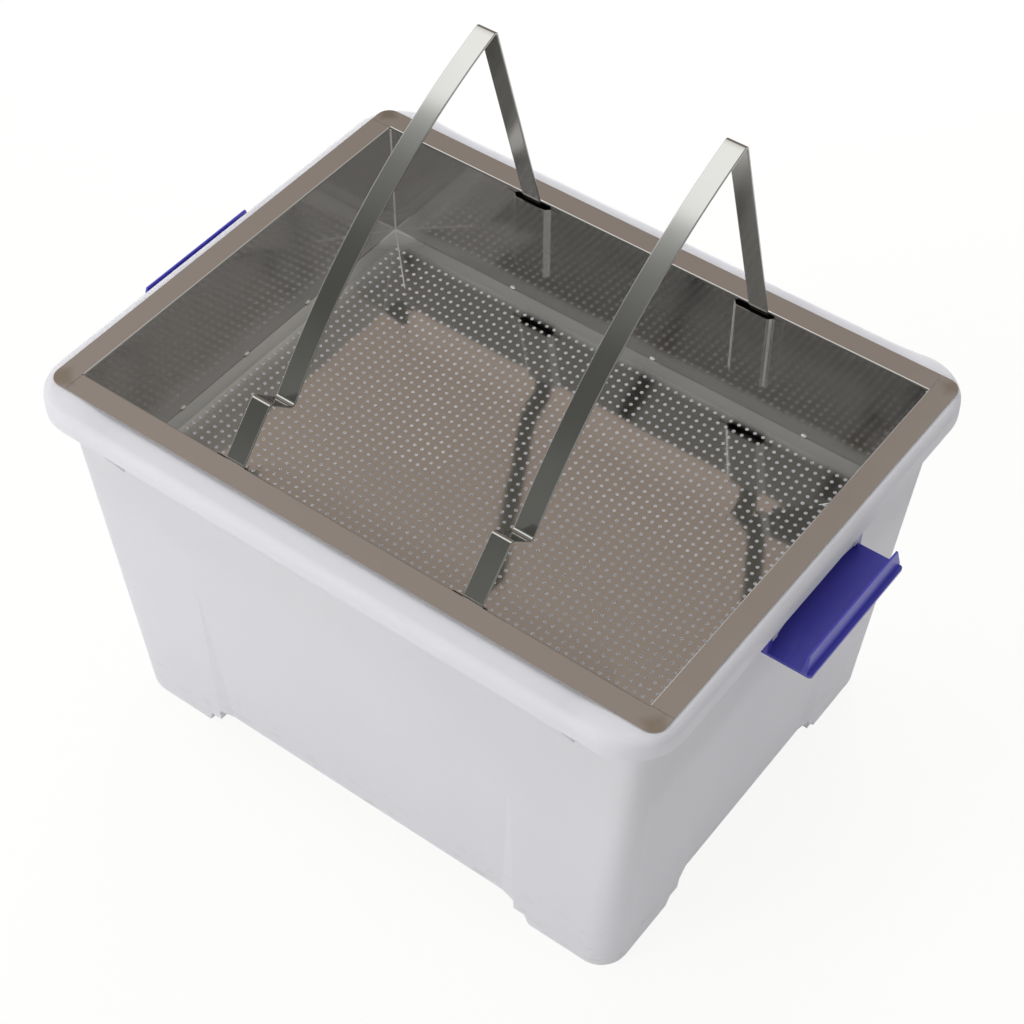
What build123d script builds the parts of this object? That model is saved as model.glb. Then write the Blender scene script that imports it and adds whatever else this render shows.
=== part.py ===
"""Uncapping tank: a plastic tub, a lift-out steel basket, two bent frame rests and two lid clips."""

import math
import os

from build123d import *

os.makedirs("parts", exist_ok=True)

# Driving dimensions in millimetres, ground at zero, front towards -Y
top_level = 370.0
sheet = 0.8
clear = 0.3

# Tub rim
rim_length = 596.0
rim_width = 462.0
rim_corner = 46.0
rim_round = 7.5
hollow_round = 2.5
rim_top = top_level - sheet - clear
skirt_bottom = 350.0
wall = 2.2
dip_half = 251.0
dip_ramp = 25.0
dip_bend = 180.0
dip_depth = 3.2
rim_under = rim_top - dip_depth - wall

# Tub body
body_length = 567.0
body_width = 416.0
body_corner = 17.0
base_length = 510.0
base_width = 396.0
base_corner = 26.0
foot_round = 8.0
base_gap = 29.0
floor_level = base_gap + wall
step_height = 17.0
gap_half_long = 160.0
gap_half_short = 101.0
step_run = 11.0
step_lean = 6.0
panel_top = 210.0
panel_depth = 3.0
panel_run = 14.0
inside_corner = 15.0
well_long = 66.0
well_short = 64.0
well_corner = 12.0
well_x = 217.0
well_y = 157.0
well_floor = 4.0
rib_x = 219.0
rib_tip = 303.0
rib_cover = 0.6

# Hinge block on each short side
block_half = 60.0
block_face = 292.5
block_bottom = 329.0
block_scoop = 4.0
block_end = 6.0
block_root = 279.2
pin_x = 287.0
pin_z = 338.0
pin_radius = 3.0
pin_clear = 0.08

# Lid clip
clip_half = 65.8
clip_plate = 2.5
plate_bottom = 317.75
clip_inner = 280.5
clip_outer = 329.5
clip_corner = 3.0
arm_radius = 5.0
arm_width = clip_half - block_half - clear
lip_height = 17.5
lip_foot_in = 321.0
lip_foot_out = 326.0
lip_top_in = 323.0
lip_top_out = 324.6
lip_taper = 4.0

# Steel basket
basket_x = 0.8
basket_y = 3.0
inner_length = 537.0
inner_width = 381.0
flange = 20.5
flange_corner = 12.0
fold_radius = 1.5
floor_top = top_level - 126.4
floor_play = 0.1
bend_inset = 112.0
slope_inset = 84.0
slope_angle = 5.0
lip_inset = 18.0
lip_angle = 8.0
border_lap = 2.0
wall_bottom = top_level - 124.4

# Pockets welded to the long walls
strip_x = 113.5
pocket_half = 27.0
pocket_mouth = 17.0
pocket_bulge = 7.0
pocket_bottom = top_level - 80.0
rear_pocket_top = top_level - 4.0
front_pocket_top = top_level - 6.5
pocket_shift = 4.5

# Bent frame rests
strip_width = 18.0
strip = 2.0
strip_bend = 3.5
leg_gap = 0.4
leg_y = inner_width / 2 - leg_gap
leg_bottom = top_level - 75.0
front_bend = (-leg_y, top_level - 4.0)
shelf_front = (-152.9, top_level + 36.4)
shelf_notch = (-128.9, top_level + 13.9)
slope_bow = (-25.0, top_level + 148.4)
bow_radius = 580.0
peak = (130.8, top_level + 210.0)
rear_bend = (leg_y, top_level - 1.0)


def body_half(half_base, half_top, level):
    """Half size of the tapered tub body at a level."""
    return half_base + (half_top - half_base) * level / rim_under


def sin_of(degrees):
    """Sine of an angle in degrees."""
    return math.sin(math.radians(degrees))


# Tub: rim slab with a shallow dip along each long side, rounded over and hollow underneath
with BuildPart() as tub:
    with BuildSketch(Plane.XZ):
        with BuildLine():
            crest = FilletPolyline(
                (-rim_length / 2, rim_top),
                (-dip_half, rim_top),
                (dip_ramp - dip_half, rim_top - dip_depth),
                (dip_half - dip_ramp, rim_top - dip_depth),
                (dip_half, rim_top),
                (rim_length / 2, rim_top),
                radius=dip_bend,
            )
            Polyline(
                crest @ 0,
                (-rim_length / 2, skirt_bottom),
                (rim_length / 2, skirt_bottom),
                crest @ 1,
            )
        make_face()
    extrude(amount=rim_width, both=True)
    with BuildSketch(Plane.XY.offset(skirt_bottom)):
        RectangleRounded(rim_length, rim_width, rim_corner)
    extrude(amount=rim_top - skirt_bottom, mode=Mode.INTERSECT)
    rim_sides = tub.faces().filter_by(lambda face: abs(face.normal_at().Z) < 0.01)
    rim_edges = rim_sides.edges().filter_by(lambda edge: edge.center().Z > rim_under)
    fillet(rim_edges, radius=rim_round)
    with BuildSketch(Plane.XY.offset(skirt_bottom)):
        RectangleRounded(rim_length - 2 * wall, rim_width - 2 * wall, rim_corner - wall)
    extrude(amount=rim_under - skirt_bottom, mode=Mode.SUBTRACT)
    ceiling = tub.faces().filter_by(Axis.Z).group_by(Axis.Z)[1]
    fillet(ceiling.edges(), radius=hollow_round)

    # Tapered body
    with BuildSketch(Plane.XY):
        RectangleRounded(base_length, base_width, base_corner)
    with BuildSketch(Plane.XY.offset(rim_under)):
        RectangleRounded(body_length, body_width, body_corner)
    loft()
    fillet(tub.edges().group_by(Axis.Z)[0], radius=foot_round)

    # Stepped gaps that leave four corner feet
    for plane, half_gap, reach in (
        (Plane.XZ, gap_half_long, base_width),
        (Plane.YZ, gap_half_short, base_length),
    ):
        with BuildSketch(plane):
            with BuildLine():
                Polyline(
                    (-half_gap, base_gap),
                    (half_gap, base_gap),
                    (half_gap, step_height),
                    (half_gap + step_run, step_height),
                    (half_gap + step_run + step_lean, 0),
                    (-half_gap - step_run - step_lean, 0),
                    (-half_gap - step_run, step_height),
                    (-half_gap, step_height),
                    close=True,
                )
            make_face()
        extrude(amount=reach, both=True, mode=Mode.SUBTRACT)

    # Recessed side panels with sloping ends, deepest at the bottom
    panel_end = panel_run / panel_depth
    for half_base, half_top, half_panel, turn in (
        (base_width / 2, body_width / 2, gap_half_long, 0),
        (base_length / 2, body_length / 2, gap_half_short, 90),
        (base_width / 2, body_width / 2, gap_half_long, 180),
        (base_length / 2, body_length / 2, gap_half_short, 270),
    ):
        for level in (step_height, skirt_bottom):
            face_half = body_half(half_base, half_top, level)
            depth = panel_depth * (panel_top - level) / (panel_top - base_gap)
            outside = 2 * panel_depth
            with BuildSketch(Plane.XY.offset(level).rotated((0, 0, turn))):
                with BuildLine():
                    Polyline(
                        (panel_end * depth - half_panel, depth - face_half),
                        (half_panel - panel_end * depth, depth - face_half),
                        (half_panel + panel_end * outside, -outside - face_half),
                        (-half_panel - panel_end * outside, -outside - face_half),
                        close=True,
                    )
                make_face()
        loft(mode=Mode.SUBTRACT)

    # Inside of the tub and the hollow feet
    inset = 2 * (wall + panel_depth)
    panel_inside_length = 2 * (body_half(base_length / 2, body_length / 2, panel_top) - wall)
    panel_inside_width = 2 * (body_half(base_width / 2, body_width / 2, panel_top) - wall)
    mouth_length = 2 * (body_half(base_length / 2, body_length / 2, rim_top) - wall)
    mouth_width = 2 * (body_half(base_width / 2, body_width / 2, rim_top) - wall)
    with BuildSketch(Plane.XY.offset(floor_level)):
        RectangleRounded(base_length - inset, base_width - inset, base_corner - wall)
    with BuildSketch(Plane.XY.offset(panel_top)):
        RectangleRounded(panel_inside_length, panel_inside_width, inside_corner)
    with BuildSketch(Plane.XY.offset(rim_top)):
        RectangleRounded(mouth_length, mouth_width, inside_corner)
    loft(ruled=True, mode=Mode.SUBTRACT)
    with BuildSketch(Plane.XY.offset(well_floor)):
        with GridLocations(2 * well_x, 2 * well_y, 2, 2):
            RectangleRounded(well_long, well_short, well_corner)
    extrude(amount=floor_level - well_floor + clear, mode=Mode.SUBTRACT)

    # Ribs that stiffen the rim near the corners
    rib_foot = body_half(base_width / 2, body_width / 2, rib_tip) - wall / 2
    rib_corner = (rim_width / 2 - rim_round, rim_top - dip_depth - rim_round)
    rib_radius = rim_round - rib_cover
    for side in (-1, 1):
        with BuildSketch(Plane.YZ.offset(side * rib_x - wall / 2)):
            with BuildLine():
                rib_bend = CenterArc(rib_corner, rib_radius, 0, 90)
                Polyline(
                    rib_bend @ 1,
                    (rib_foot, rib_corner[1] + rib_radius),
                    (rib_foot, rib_tip),
                    (rib_corner[0] + rib_radius, skirt_bottom),
                    rib_bend @ 0,
                )
            make_face()
            mirror(about=Plane.YZ)
        extrude(amount=wall)

    # Hinge blocks: a scooped face between two drilled ends
    for side in (-1, 1):
        with BuildSketch(Plane.XY.offset(block_bottom)):
            with BuildLine():
                outer_arc = ThreePointArc(
                    (side * block_face, -block_half),
                    (side * (block_face - block_scoop), 0),
                    (side * block_face, block_half),
                )
                inner_arc = ThreePointArc(
                    (side * (block_face - wall), -block_half),
                    (side * (block_face - block_scoop - wall), 0),
                    (side * (block_face - wall), block_half),
                )
                Line(outer_arc @ 0, inner_arc @ 0)
                Line(outer_arc @ 1, inner_arc @ 1)
            make_face()
            with Locations((side * (block_root + block_face) / 2, 0)):
                with GridLocations(0, 2 * block_half - block_end, 1, 2):
                    Rectangle(block_face - block_root, block_end)
        extrude(amount=rim_under - block_bottom + clear)
        with Locations((side * pin_x, 0, pin_z)):
            Cylinder(
                pin_radius + pin_clear,
                2 * block_half + clear,
                rotation=(90, 0, 0),
                mode=Mode.SUBTRACT,
            )

tub.part.label = "tub"
export_step(tub.part, "parts/tub.step")


# Lid clips: plate, hooked lip, two arms and two stub pins
for clip_name, side in (("clip_left", -1), ("clip_right", 1)):
    with BuildPart() as clip:
        with BuildSketch(Plane.XY.offset(plate_bottom)):
            with Locations((side * (clip_inner + clip_outer) / 2, 0)):
                RectangleRounded(clip_outer - clip_inner, 2 * clip_half, clip_corner)
        extrude(amount=clip_plate)

        lip_bottom = plate_bottom + clip_plate
        with BuildSketch(Plane.XZ):
            with BuildLine():
                Polyline(
                    (side * lip_foot_in, lip_bottom),
                    (side * lip_top_in, lip_bottom + lip_height),
                    (side * lip_top_out, lip_bottom + lip_height),
                    (side * lip_foot_out, lip_bottom),
                    close=True,
                )
            make_face()
        extrude(amount=clip_half, both=True)
        with BuildSketch(Plane.YZ):
            with BuildLine():
                Polyline(
                    (clip_half, lip_bottom + clip_plate),
                    (clip_half - lip_taper, lip_bottom + lip_height),
                    (clip_half, lip_bottom + lip_height),
                    close=True,
                )
            make_face()
            mirror(about=Plane.YZ)
        extrude(amount=side * clip_outer, mode=Mode.SUBTRACT)

        for arm_start in (-clip_half, clip_half - arm_width):
            with BuildSketch(Plane.XZ.offset(-arm_start - arm_width)):
                with Locations((side * pin_x, pin_z)):
                    Circle(arm_radius)
                with Locations((side * pin_x, (pin_z + plate_bottom) / 2)):
                    Rectangle(2 * arm_radius, pin_z - plate_bottom)
            extrude(amount=arm_width)
        pin_length = block_end
        pin_middle = clip_half - arm_width - pin_length / 2
        with Locations((side * pin_x, -pin_middle, pin_z), (side * pin_x, pin_middle, pin_z)):
            Cylinder(pin_radius, pin_length, rotation=(90, 0, 0))

    clip.part.label = clip_name
    export_step(clip.part, f"parts/{clip_name}.step")


# Basket walls: each has a top flange that also closes one corner of the basket
long_run = inner_length / 2 + sheet
short_run = inner_width / 2 - clear / 2
for wall_name, along, run, reach, corner_start in (
    ("wall_front", (1, 0, 0), long_run, inner_width / 2, clear / 2),
    ("wall_right", (0, 1, 0), short_run, inner_length / 2, sheet + clear),
    ("wall_rear", (-1, 0, 0), long_run, inner_width / 2, clear / 2),
    ("wall_left", (0, -1, 0), short_run, inner_length / 2, sheet + clear),
):
    panel = Plane(origin=(basket_x, basket_y, 0), x_dir=along, z_dir=(0, 0, 1))
    profile = Plane(origin=panel.from_local_coords((-run, 0, 0)), x_dir=panel.y_dir, z_dir=along)
    with BuildPart() as basket_wall:
        with BuildSketch(profile):
            with BuildLine():
                FilletPolyline(
                    (-reach - flange, top_level),
                    (-reach, top_level),
                    (-reach, wall_bottom),
                    radius=fold_radius,
                )
                offset(amount=sheet, side=Side.RIGHT)
            make_face()
        extrude(amount=2 * run)
        corner_width = flange - corner_start
        opposite = inner_length / 2 + inner_width / 2 - reach
        corner_length = opposite + flange - run
        with BuildSketch(panel.offset(top_level - sheet)):
            with Locations((run + corner_length / 2, -reach - flange + corner_width / 2)):
                Rectangle(corner_length, corner_width)
        extrude(amount=sheet)
        tip = panel.from_local_coords((run + corner_length, -reach - flange, top_level))
        fillet(basket_wall.edges().filter_by(Axis.Z).sort_by_distance(tip)[0], radius=flange_corner)

    basket_wall.part.label = wall_name
    export_step(basket_wall.part, f"parts/{wall_name}.step")


# Basket floor: flat in the middle, with a border that slopes up and curls at the walls
flat_half_x = inner_length / 2 - bend_inset
flat_half_y = inner_width / 2 - bend_inset
floor_middle = Plane((basket_x, basket_y, floor_top))
border_start = (basket_x, basket_y - flat_half_y, floor_top)
border_profile = Plane(origin=border_start, x_dir=(0, -1, 0), z_dir=(-1, 0, 0))
bend_radius = (bend_inset - slope_inset) / sin_of(slope_angle)
lip_run = lip_inset - floor_play
lip_radius = lip_run / (sin_of(slope_angle + lip_angle) - sin_of(slope_angle))
with BuildPart() as basket_floor:
    with BuildLine(floor_middle):
        Polyline(
            (0, -flat_half_y),
            (flat_half_x, -flat_half_y),
            (flat_half_x, flat_half_y),
            (-flat_half_x, flat_half_y),
            (-flat_half_x, -flat_half_y),
            close=True,
        )
    with BuildSketch(border_profile):
        with BuildLine():
            edges_met = []
            for level in (0, -sheet):
                lap = Line((-border_lap, level), (0, level))
                bend = JernArc(lap @ 1, lap % 1, bend_radius, slope_angle)
                rise = PolarLine(
                    bend @ 1, slope_inset - lip_inset, slope_angle, length_mode=LengthMode.HORIZONTAL
                )
                lip = JernArc(rise @ 1, rise % 1, lip_radius, lip_angle)
                edges_met.append((lap @ 0, lip @ 1))
            for upper, lower in zip(*edges_met):
                Line(upper, lower)
        make_face()
    sweep(transition=Transition.RIGHT)
    with BuildSketch(floor_middle):
        Rectangle(2 * flat_half_x, 2 * flat_half_y)
    extrude(amount=-sheet)

basket_floor.part.label = "basket_floor"
export_step(basket_floor.part, "parts/basket_floor.step")


# Pockets: flat welding flanges with a bulge between them
for pocket_name, inward, middle, pocket_top in (
    ("pocket_front_left", 1, basket_x - strip_x - pocket_shift, front_pocket_top),
    ("pocket_front_right", 1, basket_x + strip_x - pocket_shift, front_pocket_top),
    ("pocket_rear_left", -1, basket_x - strip_x, rear_pocket_top),
    ("pocket_rear_right", -1, basket_x + strip_x - pocket_shift, rear_pocket_top),
):
    face = basket_y - inward * inner_width / 2
    with BuildPart() as pocket:
        with BuildSketch(Plane.XY.offset(pocket_bottom)):
            with BuildLine():
                ThreePointArc(
                    (middle - pocket_mouth, face),
                    (middle, face + inward * pocket_bulge),
                    (middle + pocket_mouth, face),
                )
                ThreePointArc(
                    (middle - pocket_mouth - sheet, face + inward * sheet),
                    (middle, face + inward * (pocket_bulge + sheet)),
                    (middle + pocket_mouth + sheet, face + inward * sheet),
                )
                for end in (-1, 1):
                    Polyline(
                        (middle + end * pocket_mouth, face),
                        (middle + end * pocket_half, face),
                        (middle + end * pocket_half, face + inward * sheet),
                        (middle + end * (pocket_mouth + sheet), face + inward * sheet),
                    )
            make_face()
        extrude(amount=pocket_top - pocket_bottom)

    pocket.part.label = pocket_name
    export_step(pocket.part, f"parts/{pocket_name}.step")


# Frame rests: one strip each, bent into a front leg, a shelf, a long bowed slope and a rear leg
for side_name, side in (("left", -1), ("right", 1)):
    start = basket_x + side * strip_x - strip_width / 2
    strip_plane = Plane(origin=(start, basket_y, 0), x_dir=(0, 1, 0), z_dir=(1, 0, 0))
    with BuildPart() as frame_rest:
        with BuildSketch(strip_plane):
            with BuildLine():
                FilletPolyline(
                    (-leg_y, leg_bottom),
                    front_bend,
                    shelf_front,
                    shelf_notch,
                    slope_bow,
                    peak,
                    rear_bend,
                    (leg_y, leg_bottom),
                    radius=(strip_bend, strip_bend, strip_bend, bow_radius, strip_bend, strip_bend),
                )
                offset(amount=strip, side=Side.RIGHT)
            make_face()
        extrude(amount=strip_width)

    rest_name = f"frame_rest_{side_name}"
    frame_rest.part.label = rest_name
    export_step(frame_rest.part, f"parts/{rest_name}.step")
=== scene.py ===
import math
import bmesh
import bpy
from mathutils import Matrix, Vector


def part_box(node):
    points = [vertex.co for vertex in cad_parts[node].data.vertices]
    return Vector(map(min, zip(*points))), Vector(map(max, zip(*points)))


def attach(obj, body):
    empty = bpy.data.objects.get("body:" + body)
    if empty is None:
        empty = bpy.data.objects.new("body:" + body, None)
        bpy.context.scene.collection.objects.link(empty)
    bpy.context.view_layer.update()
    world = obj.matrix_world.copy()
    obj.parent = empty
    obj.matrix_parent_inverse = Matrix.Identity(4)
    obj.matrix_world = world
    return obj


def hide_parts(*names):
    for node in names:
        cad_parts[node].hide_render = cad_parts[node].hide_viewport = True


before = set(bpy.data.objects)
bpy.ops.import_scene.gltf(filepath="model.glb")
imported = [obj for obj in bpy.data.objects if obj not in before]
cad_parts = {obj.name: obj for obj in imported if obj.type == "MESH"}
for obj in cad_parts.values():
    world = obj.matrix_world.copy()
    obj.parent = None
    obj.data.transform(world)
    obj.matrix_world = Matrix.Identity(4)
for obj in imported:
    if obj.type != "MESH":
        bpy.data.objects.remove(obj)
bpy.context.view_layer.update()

# Tub: one white polypropylene moulding with a rolled rim, four hollow feet and a hinge block on
# each short side. The plastic is satin and waxy, lets light through its thin walls, and is
# slightly uneven where it flowed and cooled in the mould.
mm = 0.001


class Feed:
    """One shader value. Sums, differences and products of feeds add Math nodes to its tree."""

    def __init__(self, tree, socket):
        self.tree = tree
        self.socket = socket

    @classmethod
    def node(cls, tree, kind, settings, inputs, output=0):
        """One output of a new node with the settings, values and links given."""
        made = tree.nodes.new(kind)
        for name, value in settings.items():
            if name == "stops":
                ramp = made.color_ramp
                while len(ramp.elements) < len(value):
                    ramp.elements.new(1.0)
                for element, (place, colour) in zip(ramp.elements, value):
                    element.position = place
                    element.color = (*colour, 1.0)
            else:
                setattr(made, name, value)
        for name, value in inputs.items():
            socket = made.inputs[name]
            if isinstance(value, Feed):
                tree.links.new(value.socket, socket)
            else:
                socket.default_value = value
        return cls(tree, made.outputs[output])

    def maths(self, operation, first, second):
        return Feed.node(self.tree, "ShaderNodeMath", {"operation": operation}, {0: first, 1: second})

    def __add__(self, other):
        return self.maths("ADD", self, other)

    def __radd__(self, other):
        return self.maths("ADD", other, self)

    def __sub__(self, other):
        return self.maths("SUBTRACT", self, other)

    def __rsub__(self, other):
        return self.maths("SUBTRACT", other, self)

    def __mul__(self, other):
        return self.maths("MULTIPLY", self, other)

    def __rmul__(self, other):
        return self.maths("MULTIPLY", other, self)

    def __abs__(self):
        return self.maths("ABSOLUTE", self, 0.0)

    def highest(self, other):
        return self.maths("MAXIMUM", self, other)

    def lowest(self, other):
        return self.maths("MINIMUM", self, other)


def start_finish(name):
    """A new material with an empty tree, its surface socket and its object coordinates."""
    material = bpy.data.materials.new(name)
    material.use_nodes = True
    tree = material.node_tree
    tree.nodes.clear()
    output = tree.nodes.new("ShaderNodeOutputMaterial")
    place = Feed.node(tree, "ShaderNodeTexCoord", {}, {}, "Object")
    return material, tree, output.inputs["Surface"], place


def noise(place, scale, detail, stretch=(1, 1, 1)):
    """Cloudy value from 0 to 1, stretched by scaling the coordinates."""
    tree = place.tree
    spread = Feed.node(tree, "ShaderNodeMapping", {}, {"Vector": place, "Scale": stretch})
    return Feed.node(tree, "ShaderNodeTexNoise", {}, {"Vector": spread, "Scale": scale, "Detail": detail})


def axis(place, name):
    return Feed.node(place.tree, "ShaderNodeSeparateXYZ", {}, {"Vector": place}, name)


def fade(value, start, end):
    """Smooth step from 0 at start to 1 at end."""
    settings = {"interpolation_type": "SMOOTHSTEP"}
    inputs = {"Value": value, "From Min": start, "From Max": end}
    return Feed.node(value.tree, "ShaderNodeMapRange", settings, inputs)


def blend_colours(factor, first, second):
    return Feed.node(
        factor.tree, "ShaderNodeMix", {"data_type": "RGBA"}, {0: factor, 6: first, 7: second}, 2
    )


def raise_surface(height):
    """Bump from a height in millimetres."""
    return Feed.node(height.tree, "ShaderNodeBump", {}, {"Height": height, "Distance": mm})


def link_surface(tree, surface, inputs):
    shader = Feed.node(tree, "ShaderNodeBsdfPrincipled", {}, inputs)
    tree.links.new(shader.socket, surface)


def dress(node, material):
    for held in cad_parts[node].material_slots:
        held.material = material


tub_white, tree, surface, place = start_finish("tub_white")
cloud = noise(place, scale=7.0, detail=4.0)
flow = noise(place, scale=13.0, detail=3.0, stretch=(1, 1, 0.2))
grain = noise(place, scale=1100.0, detail=2.0)
scratches = noise(place, scale=60.0, detail=6.0, stretch=(1, 1, 2.5))
scuffs = fade(scratches, start=0.56, end=0.7)
near_feet = fade(axis(place, "Z"), start=0.09, end=0.0)
clean = blend_colours(cloud, (0.83, 0.825, 0.85, 1), (0.87, 0.865, 0.885, 1))
white = blend_colours(0.3 * scuffs * near_feet, clean, (0.5, 0.49, 0.47, 1))
satin = Feed.node(tree, "ShaderNodeBsdfPrincipled", {}, {
    "Base Color": white,
    "Roughness": 0.4 + 0.1 * cloud + 0.1 * flow,
    "Normal": raise_surface(0.25 * flow + 0.006 * grain),
})
through = Feed.node(tree, "ShaderNodeBsdfTranslucent", {}, {"Color": white})
light_through = 0.4
waxy = Feed.node(tree, "ShaderNodeMixShader", {}, {0: light_through, 1: satin, 2: through})
tree.links.new(waxy.socket, surface)
dress("tub", tub_white)

# Lid clips: two deep blue levers, moulded in a harder, smoother plastic. Each swings on two stub
# pins that snap into the ends of the tub's hinge block.
clip_blue, tree, surface, place = start_finish("clip_blue")
cloud = noise(place, scale=30.0, detail=3.0)
grain = noise(place, scale=1400.0, detail=2.0)
handling = noise(place, scale=140.0, detail=4.0, stretch=(1, 0.25, 1))
rubbed = fade(handling, start=0.55, end=0.75)
solid_blue = blend_colours(cloud, (0.048, 0.046, 0.36, 1), (0.065, 0.06, 0.44, 1))
link_surface(tree, surface, {
    "Base Color": blend_colours(0.25 * rubbed, solid_blue, (0.11, 0.11, 0.42, 1)),
    "Roughness": 0.26 + 0.12 * cloud + 0.12 * rubbed,
    "Normal": raise_surface(0.004 * grain),
})
for clip in ("clip_left", "clip_right"):
    dress(clip, clip_blue)

# Basket walls: four folded stainless sheets with a bright rolled finish, each with a flange on
# top. The sheet is not quite flat, so reflections bend, and welding left straw tints at the
# corners.
basket_middle = (0.8, 3.0)
inner_half = (268.5, 190.5)
flange_corner = (282.0, 204.0)
wall_steel, tree, surface, place = start_finish("wall_steel")
grain = noise(place, scale=500.0, detail=3.0, stretch=(0.1, 0.1, 1.0))
smear = noise(place, scale=22.0, detail=5.0)
tone = noise(place, scale=5.0, detail=2.0)
swell = noise(place, scale=9.0, detail=1.0)
from_corner_x = abs(abs(axis(place, "X") - basket_middle[0] * mm) - flange_corner[0] * mm)
from_corner_y = abs(abs(axis(place, "Y") - basket_middle[1] * mm) - flange_corner[1] * mm)
from_corner = from_corner_x + from_corner_y + 0.014 * (smear - 0.5)
heat = fade(from_corner, start=0.017, end=0.003)
bright = blend_colours(tone, (0.6, 0.595, 0.585, 1), (0.65, 0.64, 0.63, 1))
link_surface(tree, surface, {
    "Base Color": blend_colours(0.55 * heat, bright, (0.3, 0.225, 0.14, 1)),
    "Metallic": 1.0,
    "Roughness": 0.055 + 0.07 * smear + 0.04 * grain + 0.1 * heat,
    "Normal": raise_surface(0.12 * swell + 0.0015 * grain),
})
for wall in ("wall_front", "wall_rear", "wall_left", "wall_right"):
    dress(wall, wall_steel)

# Basket floor: one perforated stainless sheet, flat in the middle, with a border that rises
# gently and curls up at the walls. Round holes are punched through it on a square pattern, the
# border is brushed, and the corners were ground after welding. Along the walls the border is
# also painted paler and less metallic, a painted sheen for the brighter reflection there, and
# the punched hole walls are painted near-white as painted glints.


def make_piece(name, points, faces, material, body, sharp=30):
    """A new piece from points in millimetres, smooth but for edges over the sharp angle."""
    mesh = bpy.data.meshes.new(name)
    mesh.from_pydata([Vector(point) * mm for point in points], [], faces)
    shell = bmesh.new()
    shell.from_mesh(mesh)
    bmesh.ops.recalc_face_normals(shell, faces=shell.faces)
    shell.to_mesh(mesh)
    shell.free()
    mesh.shade_smooth()
    mesh.set_sharp_from_angle(angle=math.radians(sharp))
    mesh.materials.append(material)
    piece = bpy.data.objects.new(name, mesh)
    bpy.context.scene.collection.objects.link(piece)
    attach(piece, body)
    return piece


floor_steel, tree, surface, place = start_finish("floor_steel")
grain = noise(place, scale=450.0, detail=3.0, stretch=(0.12, 1.0, 1.0))
smear = noise(place, scale=16.0, detail=5.0)
tone = noise(place, scale=5.0, detail=2.0)
swell = noise(place, scale=13.0, detail=2.0)
from_end = inner_half[0] * mm - abs(axis(place, "X") - basket_middle[0] * mm)
from_side = inner_half[1] * mm - abs(axis(place, "Y") - basket_middle[1] * mm)
ground = fade(from_end + from_side + 0.02 * (smear - 0.5), start=0.055, end=0.012)
# Brushed bands along the walls, rougher, and also painted pale: a painted sheen for the brighter
# reflection along the border.
brushed_ends_and_painted_sheen = fade(from_end + 0.012 * (smear - 0.5), start=0.034, end=0.004)
brushed_sides_and_painted_sheen = fade(from_side + 0.008 * (smear - 0.5), start=0.022, end=0.01)
brushed_and_painted_sheen = brushed_ends_and_painted_sheen.highest(0.85 * brushed_sides_and_painted_sheen)
# Pale colour and lower metal share: ground corners, plus painted sheen along the walls.
pale = ground.highest(0.48 * brushed_and_painted_sheen)
rolled = blend_colours(tone, (0.58, 0.565, 0.545, 1), (0.63, 0.61, 0.59, 1))
link_surface(tree, surface, {
    "Base Color": blend_colours(0.8 * pale, rolled, (0.86, 0.85, 0.83, 1)),
    "Metallic": 1.0 - 0.65 * pale,
    "Roughness": 0.035 + 0.05 * smear + 0.03 * grain + 0.3 * pale,
    "Normal": raise_surface(0.35 * swell + 0.002 * grain),
})

# Punched hole walls: torn, rough steel, painted near-white and part non-metal as painted glints for the
# bright specks at the holes.
punched_steel_with_painted_glints, tree, surface, place = start_finish("punched_steel_with_painted_glints")
torn = noise(place, scale=700.0, detail=2.0)
link_surface(tree, surface, {
    "Base Color": blend_colours(torn, (0.72, 0.71, 0.69, 1), (0.9, 0.89, 0.87, 1)),
    "Metallic": 0.4,
    "Roughness": 0.4 + 0.2 * torn,
    "Normal": raise_surface(0.02 * torn),
})

sheet = 0.8
floor_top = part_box("basket_floor")[0][2] / mm + sheet
bend_inset = 112.0
slope_inset = 84.0
slope_angle = math.radians(5)
bend_radius = (bend_inset - slope_inset) / math.sin(slope_angle)
edge_inset = 0.1
lip_inset = 18.0
lip_angle = math.radians(8)
lip_gain = math.sin(slope_angle + lip_angle) - math.sin(slope_angle)
lip_radius = (lip_inset - edge_inset) / lip_gain
hole_pitch = 8.0
hole_radius = 1.5
hole_roll = 0.15
hole_count = (64, 44)
hole_sides = 12
first_corner = 225.0
field_inset = 12.5


def tray_rise(across, along):
    """Height of the tray over its flat middle, from the nearest wall's distance."""
    inset = min(inner_half[0] - abs(across), inner_half[1] - abs(along))
    turn = math.asin(min(max(bend_inset - inset, 0) / bend_radius, math.sin(slope_angle)))
    slope = max(slope_inset - max(inset, lip_inset), 0) * math.tan(slope_angle)
    curl = math.asin(math.sin(slope_angle) + max(lip_inset - inset, 0) / lip_radius)
    lip = lip_radius * (math.cos(slope_angle) - math.cos(curl))
    return bend_radius * (1 - math.cos(turn)) + slope + lip


def tray_point(across, along, drop):
    """Point of the tray measured from the basket's middle, at a depth below its upper face."""
    return (
        basket_middle[0] + across,
        basket_middle[1] + along,
        floor_top + tray_rise(across, along) - drop,
    )


points = []
faces = []
grid_lines = []
for side in (0, 1):
    lines = [(step - hole_count[side] / 2) * hole_pitch for step in range(hole_count[side] + 1)]
    lines[0] = field_inset - inner_half[side]
    lines[-1] = inner_half[side] - field_inset
    grid_lines.append(lines)
for drop in (0, sheet):
    for along in grid_lines[1]:
        for across in grid_lines[0]:
            points.append(tray_point(across, along, drop))


def grid_corner(column, row, level):
    """Index of a grid corner; level 0 is the top face and 1 the underside."""
    columns = hole_count[0] + 1
    rows = hole_count[1] + 1
    return (level * rows + row) * columns + column


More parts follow.
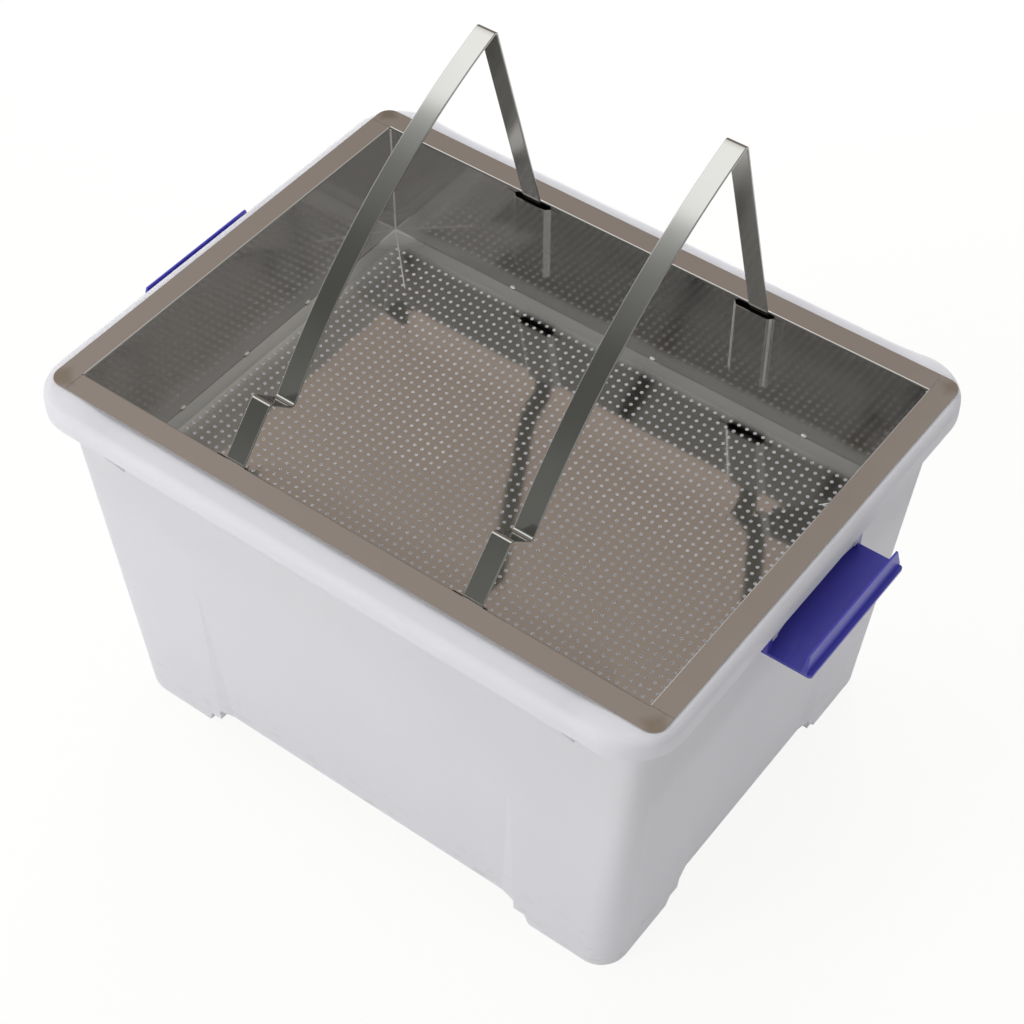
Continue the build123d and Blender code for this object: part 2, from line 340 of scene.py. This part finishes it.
quarter = hole_sides // 4
hole_profile = ((hole_radius + hole_roll, 0), (hole_radius, hole_roll), (hole_radius, sheet))
punched_faces = []
for row in range(hole_count[1]):
    for column in range(hole_count[0]):
        hole_x = (column + 0.5 - hole_count[0] / 2) * hole_pitch
        hole_y = (row + 0.5 - hole_count[1] / 2) * hole_pitch
        rings = []
        for radius, drop in hole_profile:
            ring = []
            for side in range(hole_sides):
                turn = math.radians(first_corner + side * 360 / hole_sides)
                ring.append(len(points))
                points.append(tray_point(
                    hole_x + radius * math.cos(turn), hole_y + radius * math.sin(turn), drop
                ))
            rings.append(ring)
        for level, ring in ((0, rings[0]), (1, rings[-1])):
            corners = (
                grid_corner(column, row, level),
                grid_corner(column + 1, row, level),
                grid_corner(column + 1, row + 1, level),
                grid_corner(column, row + 1, level),
            )
            for side in range(4):
                arc = [ring[(side * quarter + step) % hole_sides] for step in range(quarter + 1)]
                face = [corners[side], corners[(side + 1) % 4], *reversed(arc)]
                faces.append(face if level == 0 else face[::-1])
        for upper, lower in zip(rings, rings[1:]):
            for side in range(hole_sides):
                after = (side + 1) % hole_sides
                punched_faces.append(len(faces))
                faces.append((upper[side], upper[after], lower[after], lower[side]))

# Plain border from the holes out to the sheet's edge and back underneath
upper_insets = (10.5, 8.5, 6.5, 4.5, 2.5, 1.0, 0.4)
lower_insets = (2.5, 6.5, 10.5)
edge_round = 0.25
border = [(inset, 0.0) for inset in upper_insets]
border += [(edge_inset, edge_round), (edge_inset, sheet)]
border += [(inset, sheet) for inset in lower_insets]
loops = []
for inset, drop in border:
    loop = []
    for side_x, side_y in ((-1, -1), (1, -1), (1, 1), (-1, 1)):
        loop.append(len(points))
        points.append(tray_point(
            side_x * (inner_half[0] - inset), side_y * (inner_half[1] - inset), drop
        ))
    loops.append(loop)
for first, second in zip(loops, loops[1:]):
    for side in range(4):
        after = (side + 1) % 4
        faces.append((first[side], first[after], second[after], second[side]))
last_column, last_row = hole_count
for level, loop in ((0, loops[0]), (1, loops[-1])):
    rims = (
        [grid_corner(column, 0, level) for column in range(last_column + 1)],
        [grid_corner(last_column, row, level) for row in range(last_row + 1)],
        [grid_corner(column, last_row, level) for column in range(last_column, -1, -1)],
        [grid_corner(0, row, level) for row in range(last_row, -1, -1)],
    )
    for side in range(4):
        face = [loop[side], loop[(side + 1) % 4], *reversed(rims[side])]
        faces.append(face if level == 0 else face[::-1])
perforated_floor = make_piece(
    "perforated_floor", points, faces, floor_steel, "basket", sharp=20
)
perforated_floor.data.materials.append(punched_steel_with_painted_glints)
for face in punched_faces:
    perforated_floor.data.polygons[face].material_index = 1
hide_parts("basket_floor")

# Basket welds: thin beads close the wall corners and the folded corners of the floor, and short
# tacks hold the floor's edge to the walls. Weld metal is duller than the sheet, with straw
# tints; its near-white, mostly non-metal colour is a painted highlight for the bright gleam of
# the beads.
weld_steel_with_painted_highlight, tree, surface, place = start_finish("weld_steel_with_painted_highlight")
ripple = noise(place, scale=600.0, detail=2.0)
colour = noise(place, scale=90.0, detail=3.0)
link_surface(tree, surface, {
    # Near-white base and low metal share: painted highlight for the beads' bright gleam; the yellower mix
    # is straw tint.
    "Base Color": blend_colours(colour, (0.95, 0.945, 0.93, 1), (0.85, 0.82, 0.76, 1)),
    "Metallic": 0.15,
    "Roughness": 0.25 + 0.16 * ripple,
    "Normal": raise_surface(0.03 * ripple),
})


def lay_bead(points, faces, stations):
    """Closed bead through stations of a middle and two half sizes as vectors."""
    sides = 8
    first = len(points)
    for middle, across, out in stations:
        for step in range(sides):
            turn = math.radians(360 * step / sides)
            points.append(middle + across * math.cos(turn) + out * math.sin(turn))
    for ring in range(len(stations) - 1):
        start = first + ring * sides
        for step in range(sides):
            after = (step + 1) % sides
            faces.append((start + step, start + after, start + sides + after, start + sides + step))
    last = len(points) - sides
    faces.append(tuple(range(first, first + sides)))
    faces.append(tuple(range(last, last + sides)))


def rounded_share(step, steps, least):
    """Share of its full thickness that a short bead has at a step from its middle."""
    return math.sqrt(max(least, 1 - (step / steps) ** 2))


up = Vector((0, 0, 1))
bead_bottom = 253.2
bead_top = 368.2
bead_step = 2.6
bead_proud = 0.35
bead_half = (0.95, 0.7)
mitre_steps = 20
mitre_start = 0.6
mitre_length = 52.0
mitre_half = (0.8, 0.5)
mitre_loss = (0.3, 0.225)
puddle_steps = 4
puddle_pitch = 1.1
puddle_inset = 1.6
puddle_rise = 0.2
puddle_half = (1.9, 1.2)
fillet_steps = 8
fillet_start = 1.0
fillet_length = 21.0
fillet_inset = 0.5
fillet_half = (2.2, 1.3)
fillet_loss = 0.8
points = []
faces = []
for side_x, side_y in ((-1, -1), (1, -1), (1, 1), (-1, 1)):
    out = Vector((-side_x, -side_y, 0)).normalized()
    across = Vector((side_x, -side_y, 0)).normalized()

    # Upright bead in the wall corner, whose thickness wavers a little
    foot = Vector((
        basket_middle[0] + side_x * inner_half[0], basket_middle[1] + side_y * inner_half[1], 0
    ))
    stations = []
    for step in range(int((bead_top - bead_bottom) / bead_step) + 1):
        waver = 1 + 0.13 * math.sin(2.3 * step) + 0.07 * math.sin(0.7 * step + side_x)
        middle = foot + out * bead_proud + up * (bead_bottom + step * bead_step)
        stations.append((middle, across * bead_half[0] * waver, out * bead_half[1] * waver))
    lay_bead(points, faces, stations)

    # Thinning bead along the folded corner of the floor
    stations = []
    for step in range(mitre_steps + 1):
        share = step / mitre_steps
        inset = mitre_start + mitre_length * share
        middle = Vector(tray_point(
            side_x * (inner_half[0] - inset), side_y * (inner_half[1] - inset), 0
        ))
        half_across, half_up = (
            full - loss * share for full, loss in zip(mitre_half, mitre_loss)
        )
        stations.append((middle, across * half_across, up * half_up))
    lay_bead(points, faces, stations)

    # Puddle where the three beads meet
    middle = Vector(tray_point(
        side_x * (inner_half[0] - puddle_inset),
        side_y * (inner_half[1] - puddle_inset),
        -puddle_rise,
    ))
    stations = []
    for step in range(-puddle_steps, puddle_steps + 1):
        share = rounded_share(step, puddle_steps, least=0.02)
        stations.append((
            middle + across * puddle_pitch * step,
            out * puddle_half[0] * share,
            up * puddle_half[1] * share,
        ))
    lay_bead(points, faces, stations)

    # Tapering fillets from the corner along both edges of the floor
    for run_x, run_y in ((1, 0), (0, 1)):
        inward = Vector((-side_x * run_y, -side_y * run_x, 0))
        stations = []
        for step in range(fillet_steps + 1):
            along = fillet_start + fillet_length * step / fillet_steps
            share = 1 - fillet_loss * step / fillet_steps
            middle = Vector(tray_point(
                side_x * (inner_half[0] - fillet_inset - along * run_x),
                side_y * (inner_half[1] - fillet_inset - along * run_y),
                0,
            ))
            stations.append((middle, inward * fillet_half[0] * share, up * fillet_half[1] * share))
        lay_bead(points, faces, stations)

tack_x = (-135.0, 15.0, 168.0)
tack_y = (-95.0, -14.0, 67.0)
tack_steps = 3
tack_pitch = 0.9
tack_inset = 0.3
tack_rise = 1.5
tack_half = (1.3, 1.1)
tack_level = floor_top + tray_rise(inner_half[0] - edge_inset, 0) + tack_rise
tacks = [(x, side * inner_half[1], 1, 0) for x in tack_x for side in (-1, 1)]
tacks += [(side * inner_half[0], y, 0, 1) for y in tack_y for side in (-1, 1)]
for tack_place_x, tack_place_y, run_x, run_y in tacks:
    inward = Vector((
        -math.copysign(run_y, tack_place_x), -math.copysign(run_x, tack_place_y), 0
    ))
    foot = Vector((basket_middle[0] + tack_place_x, basket_middle[1] + tack_place_y, tack_level))
    stations = []
    for step in range(-tack_steps, tack_steps + 1):
        share = rounded_share(step, tack_steps, least=0.03)
        middle = foot + inward * tack_inset + Vector((run_x, run_y, 0)) * tack_pitch * step
        stations.append((middle, inward * tack_half[0] * share, up * tack_half[1] * share))
    lay_bead(points, faces, stations)
make_piece("basket_welds", points, faces, weld_steel_with_painted_highlight, "basket", sharp=50)

# Pockets: four pressed steel plates, each with a flat-topped channel between two flat edges. Two
# rows of spot welds hold each plate to a long wall, and the strips' legs stand in the channels.
channel_depth = 4.4
channel_flat = 14.6
channel_foot = 19.5
plate_steps = 240
skin_size = plate_steps + 1
pockets = ("front_left", "front_right", "rear_left", "rear_right")
for pocket in pockets:
    pocket_low, pocket_high = (Vector(corner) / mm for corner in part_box("pocket_" + pocket))
    inward = 1 if pocket.startswith("front") else -1
    wall_face = pocket_low.y if inward > 0 else pocket_high.y
    middle = (pocket_low.x + pocket_high.x) / 2
    points = []
    for level in (pocket_low.z, pocket_high.z):
        for skin in (0, sheet):
            for step in range(skin_size):
                across = pocket_low.x + (pocket_high.x - pocket_low.x) * step / plate_steps
                flank = (channel_foot - abs(across - middle)) / (channel_foot - channel_flat)
                flank = min(max(flank, 0), 1)
                depth = channel_depth * flank * flank * (3 - 2 * flank) + skin
                points.append((across, wall_face + inward * depth, level))
    back_low, face_low, back_high, face_high = (row * skin_size for row in range(4))
    faces = []
    for first, second in (
        (back_low, back_high), (face_low, face_high), (back_low, face_low), (back_high, face_high)
    ):
        for step in range(plate_steps):
            faces.append((first + step, first + step + 1, second + step + 1, second + step))
    for end in (0, plate_steps):
        faces.append((back_low + end, face_low + end, face_high + end, back_high + end))
    plate = make_piece(
        "pressed_pocket_" + pocket, points, faces, wall_steel, "basket", sharp=35
    )
    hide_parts("pocket_" + pocket)

points = []
faces = []
spot_sides = 14
spot_margin = 4.5
spot_levels = (11, 36, 61)
spot_profile = ((2.3, -0.1), (2.3, 0.03), (1.9, 0.13), (1.3, 0.06), (0.6, 0.03), (0.0, 0.03))
for pocket in pockets:
    pocket_low, pocket_high = (Vector(corner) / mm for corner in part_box("pocket_" + pocket))
    inward = 1 if pocket.startswith("front") else -1
    plate_face = (pocket_low.y if inward > 0 else pocket_high.y) + inward * sheet
    for spot_x in (pocket_low.x + spot_margin, pocket_high.x - spot_margin):
        for spot_level in spot_levels:
            first = len(points)
            for radius, proud in spot_profile:
                for step in range(spot_sides if radius else 1):
                    turn = math.radians(360 * step / spot_sides)
                    points.append((
                        spot_x + radius * math.cos(turn),
                        plate_face + inward * proud,
                        pocket_low.z + spot_level + radius * math.sin(turn),
                    ))
            for ring in range(len(spot_profile) - 2):
                start = first + ring * spot_sides
                for step in range(spot_sides):
                    after = (step + 1) % spot_sides
                    outer = start + spot_sides
                    faces.append((start + step, start + after, outer + after, outer + step))
            centre = len(points) - 1
            for step in range(spot_sides):
                after = (step + 1) % spot_sides
                faces.append((centre - spot_sides + step, centre - spot_sides + after, centre))
            faces.append(tuple(range(first, first + spot_sides)))
make_piece("spot_welds", points, faces, wall_steel, "basket", sharp=50)

# Frame rests: two stainless strips of 18 mm flat stock, each bent cold into a front leg, a short
# shelf, a long bowed slope and a rear leg. Rolling rounded the edges and left a lengthwise grain.
strip_steel, tree, surface, place = start_finish("strip_steel")
grain = noise(place, scale=900.0, detail=3.0, stretch=(1.0, 0.04, 0.04))
smear = noise(place, scale=24.0, detail=4.0)
link_surface(tree, surface, {
    "Base Color": blend_colours(smear, (0.4, 0.4, 0.385, 1), (0.45, 0.45, 0.435, 1)),
    "Metallic": 1.0,
    "Roughness": 0.07 + 0.06 * smear + 0.05 * grain,
    "Normal": raise_surface(0.003 * grain),
})

# Corners of the strip from its front foot to its rear foot, in Y and Z, and the bend at each
top_level = 370.0
leg = 190.1
strip_route = (
    (-leg, top_level - 75),
    (-leg, top_level - 4),
    (-152.9, top_level + 36.4),
    (-128.9, top_level + 13.9),
    (-25.0, top_level + 148.4),
    (130.8, top_level + 210),
    (leg, top_level - 1),
    (leg, top_level - 75),
)
strip_bend = 3.5
strip_bow = 580.0
strip_bends = (strip_bend, strip_bend, strip_bend, strip_bow, strip_bend, strip_bend)
bend_steps = 8
bow_steps = 60
strip_place = 113.5
strip_half = 9.0
strip_thick = 2.0
strip_edge = 0.5
edge_steps = 3


def bent_line(route, radii):
    """Points and rightward directions along a route in Y and Z with rounded corners."""
    line = []
    for radius, before, here, after in zip(radii, route, route[1:], route[2:]):
        before, here, after = Vector(before), Vector(here), Vector(after)
        into = (here - before).normalized()
        out = (after - here).normalized()
        right_in = Vector((into.y, -into.x))
        if not line:
            line.append((before, right_in))
        turn = into.angle_signed(out)
        back = radius * math.tan(abs(turn) / 2)
        side = 1 if turn > 0 else -1
        centre = here - into * back + right_in * radius * side
        steps = bow_steps if radius == strip_bow else bend_steps
        for step in range(steps + 1):
            angle = turn * step / steps
            right = Vector((
                right_in.x * math.cos(angle) + right_in.y * math.sin(angle),
                right_in.y * math.cos(angle) - right_in.x * math.sin(angle),
            ))
            line.append((centre - right * radius * side, right))
    line.append((Vector(route[-1]), Vector((out.y, -out.x))))
    return line


strip_line = bent_line(strip_route, strip_bends)
section = []
for side_x, side_d, start in ((1, 1, 0), (-1, 1, 90), (-1, -1, 180), (1, -1, 270)):
    for step in range(edge_steps + 1):
        turn = math.radians(start + 90 * step / edge_steps)
        section.append((
            side_x * (strip_half - strip_edge) + strip_edge * math.cos(turn),
            strip_thick / 2 + side_d * (strip_thick / 2 - strip_edge) + strip_edge * math.sin(turn),
        ))
    if side_x == side_d:
        flat = strip_thick / 2 * (1 + side_d)
        section.append((side_x * (strip_half - 2 * strip_edge), flat))
        section.append((-side_x * (strip_half - 2 * strip_edge), flat))
around = len(section)
for name, middle in (("left", -strip_place), ("right", strip_place)):
    points = []
    faces = []
    for spot, right in strip_line:
        for across, depth in section:
            points.append((
                basket_middle[0] + middle + across,
                basket_middle[1] + spot.x + right.x * depth,
                spot.y + right.y * depth,
            ))
    for ring in range(len(strip_line) - 1):
        start = ring * around
        for step in range(around):
            after = (step + 1) % around
            faces.append((start + step, start + after, start + around + after, start + around + step))
    last = (len(strip_line) - 1) * around
    faces.append(tuple(range(around)))
    faces.append(tuple(range(last, last + around)))
    strip = make_piece(
        "bent_strip_" + name, points, faces, strip_steel, "rest_" + name, sharp=50
    )
    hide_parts("frame_rest_" + name)

# Studio: a white floor that fades into a white surround, and soft panels above, in front and
# behind. What the polished steel mirrors is bright overhead and low on the left, dim in front
# and beige behind.


def shown_rays(tree):
    """One for rays from the camera, from gloss and through clear things, and 0 for the rest."""
    paths = tree.nodes.new("ShaderNodeLightPath")
    kinds = ("Is Camera Ray", "Is Glossy Ray", "Is Transmission Ray")
    camera_ray, glossy_ray, clear_ray = (Feed(tree, paths.outputs[kind]) for kind in kinds)
    return (camera_ray + glossy_ray + clear_ray).lowest(1.0)


floor_white = bpy.data.materials.new("floor_white")
floor_white.use_nodes = True
tree = floor_white.node_tree
tree.nodes.clear()
output = tree.nodes.new("ShaderNodeOutputMaterial")
diffuse = Feed.node(tree, "ShaderNodeBsdfDiffuse", {}, {"Color": (0.9, 0.9, 0.895, 1)})
glow = Feed.node(tree, "ShaderNodeEmission", {}, {"Color": (0.995, 0.995, 0.985, 1)})
lit_share = 0.9 * shown_rays(tree)
both = Feed.node(tree, "ShaderNodeMixShader", {}, {0: lit_share, 1: diffuse, 2: glow})
tree.links.new(both.socket, output.inputs["Surface"])
reach = 8.0
corners = [(-reach, -reach, 0), (reach, -reach, 0), (reach, reach, 0), (-reach, reach, 0)]
ground_mesh = bpy.data.meshes.new("ground")
ground_mesh.from_pydata(corners, [], [(0, 1, 2, 3)])
ground_mesh.materials.append(floor_white)
ground = bpy.data.objects.new("ground", ground_mesh)
bpy.context.scene.collection.objects.link(ground)

world = bpy.data.worlds.new("studio")
bpy.context.scene.world = world
world.use_nodes = True
tree = world.node_tree
tree.nodes.clear()
output = tree.nodes.new("ShaderNodeOutputWorld")
toward = Feed.node(tree, "ShaderNodeTexCoord", {}, {}, "Generated")
sideways = axis(toward, "X")
front_to_rear = 0.5 + 0.5 * axis(toward, "Y")
lit_side = Feed.node(tree, "ShaderNodeValToRGB", {"stops": (
    (0.0, (0.26, 0.26, 0.245)),
    (0.1, (0.24, 0.24, 0.225)),
    (0.15, (0.155, 0.155, 0.145)),
    (0.22, (0.165, 0.165, 0.155)),
    (0.275, (0.27, 0.27, 0.255)),
    (0.325, (0.36, 0.36, 0.35)),
    (0.375, (0.6, 0.6, 0.59)),
    (0.4, (0.85, 0.85, 0.84)),
    (0.42, (1.8, 1.8, 1.8)),
    (0.54, (1.9, 1.9, 1.88)),
    (0.625, (0.9, 0.84, 0.78)),
    (0.71, (0.43, 0.37, 0.325)),
    (0.8, (0.37, 0.315, 0.275)),
    (1.0, (0.3, 0.26, 0.23)),
)}, {"Fac": front_to_rear})
plain_side = Feed.node(tree, "ShaderNodeValToRGB", {"stops": (
    (0.0, (0.46, 0.46, 0.445)),
    (0.26, (0.46, 0.46, 0.445)),
    (0.375, (0.36, 0.36, 0.35)),
    (0.6, (0.5, 0.49, 0.47)),
    (0.71, (0.9, 0.88, 0.835)),
    (1.0, (0.35, 0.32, 0.29)),
)}, {"Fac": front_to_rear})
both_sides = blend_colours(fade(sideways, start=-0.16, end=-0.28), plain_side, lit_side)
shade = fade(sideways, start=0.22, end=0.42) * fade(front_to_rear, start=0.35, end=0.6)
shaded = blend_colours(0.66 * shade, both_sides, (0, 0, 0, 1))
far_left = fade(sideways, start=-0.64, end=-0.76)
surround = blend_colours(far_left, shaded, (1.2, 1.2, 1.18, 1))
camera_ray = Feed.node(tree, "ShaderNodeLightPath", {}, {}, "Is Camera Ray")
seen = blend_colours(camera_ray, surround, (1, 1, 1, 1))
light = Feed.node(tree, "ShaderNodeBackground", {}, {"Color": (0.98, 0.985, 1.0, 1), "Strength": 0.55})
shown = Feed.node(tree, "ShaderNodeBackground", {}, {"Color": seen, "Strength": 1.0})
both = Feed.node(tree, "ShaderNodeMixShader", {}, {0: shown_rays(tree), 1: light, 2: shown})
tree.links.new(both.socket, output.inputs["Surface"])


panel_aim = Vector((0, 0, 0.2))


def add_panel(name, spot, size, power):
    lamp = bpy.data.lights.new(name, "AREA")
    lamp.shape = "RECTANGLE"
    lamp.size, lamp.size_y = size
    lamp.energy = power
    holder = bpy.data.objects.new(name, lamp)
    holder.location = spot
    holder.rotation_euler = (panel_aim - Vector(spot)).to_track_quat("-Z", "Y").to_euler()
    holder.visible_glossy = False
    bpy.context.scene.collection.objects.link(holder)


add_panel("overhead", spot=(-0.3, 0.2, 2.8), size=(2.2, 2.2), power=20)
add_panel("front_left", spot=(-1.2, -2.4, 1.6), size=(1.6, 1.6), power=42)
add_panel("behind", spot=(-1.2, 2.2, 0.55), size=(1.6, 1.0), power=52)

# Camera: a long lens, high and to the right of the front, that looks down into the basket and
# is turned a tenth of a degree about its own axis.
camera_spot = (0.7575, -0.9942, 1.6224)
azimuth = math.radians(36.94)
elevation = math.radians(48.30)
roll = math.radians(-0.086)
right = Vector((math.cos(azimuth), math.sin(azimuth), 0))
back = Vector((
    math.sin(azimuth) * math.cos(elevation),
    -math.cos(azimuth) * math.cos(elevation),
    math.sin(elevation),
))
upward = back.cross(right)
turned_right = math.cos(roll) * right + math.sin(roll) * upward
turned_up = math.cos(roll) * upward - math.sin(roll) * right
lens = bpy.data.cameras.new("camera")
lens.sensor_width = 36
lens.lens = 79.67
camera = bpy.data.objects.new("camera", lens)
turned = Matrix((turned_right, turned_up, back)).transposed()
camera.matrix_world = Matrix.Translation(camera_spot) @ turned.to_4x4()
bpy.context.scene.collection.objects.link(camera)
bpy.context.scene.camera = camera
bpy.context.scene.view_settings.view_transform = "Standard"
